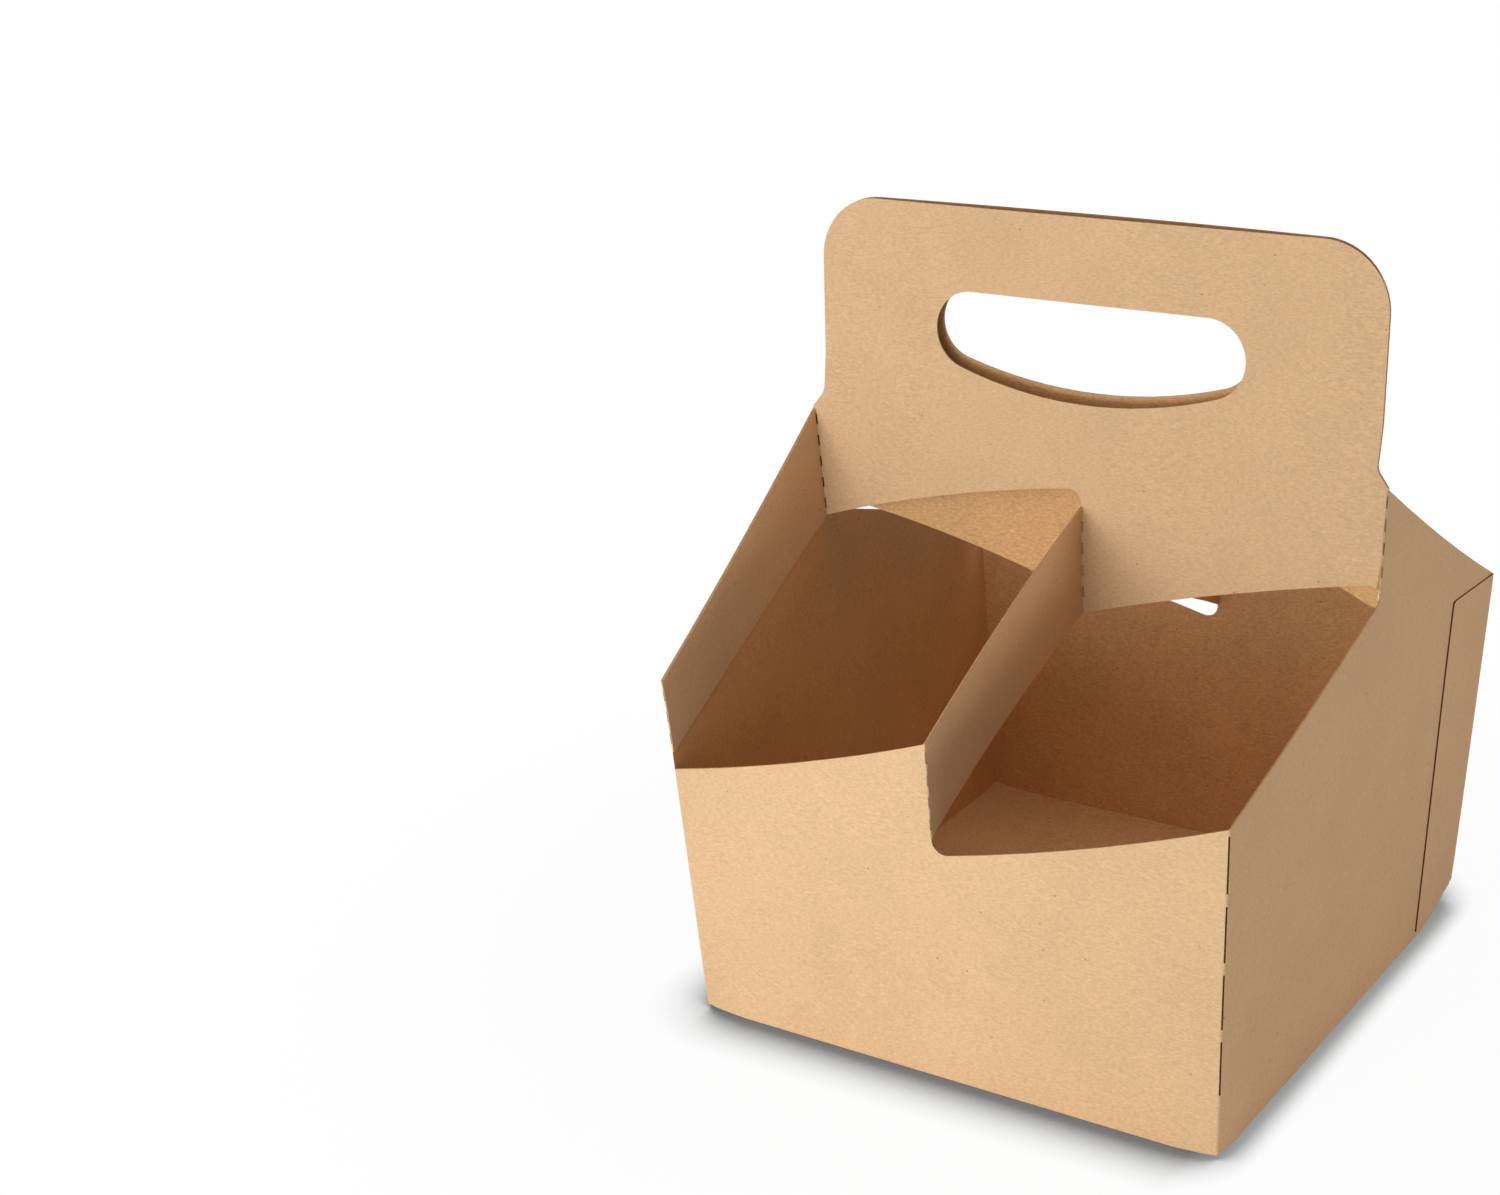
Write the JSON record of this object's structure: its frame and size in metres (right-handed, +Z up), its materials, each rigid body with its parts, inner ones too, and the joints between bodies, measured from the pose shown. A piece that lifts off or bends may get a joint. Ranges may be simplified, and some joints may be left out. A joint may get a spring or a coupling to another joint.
{
  "type": "cup carrier",
  "caption": "Folded kraft-board cup carrier: an open tapered tub with dividing straps and an upright centre handle with a hand hole, for carrying takeaway drinks.",
  "frame": {"origin": "centre of the base, on the plane of the table it stands on", "axes": "+X along the front panel to the right, +Y from the front panel to the back panel, +Z up through the handle"},
  "size_m": [0.1968, 0.1904, 0.2448],
  "materials": {
    "kraft_board": "matte, uncoated"
  },
  "bodies": {
    "root": {"cup_carrier": "kraft_board"}
  },
  "joints": []
}
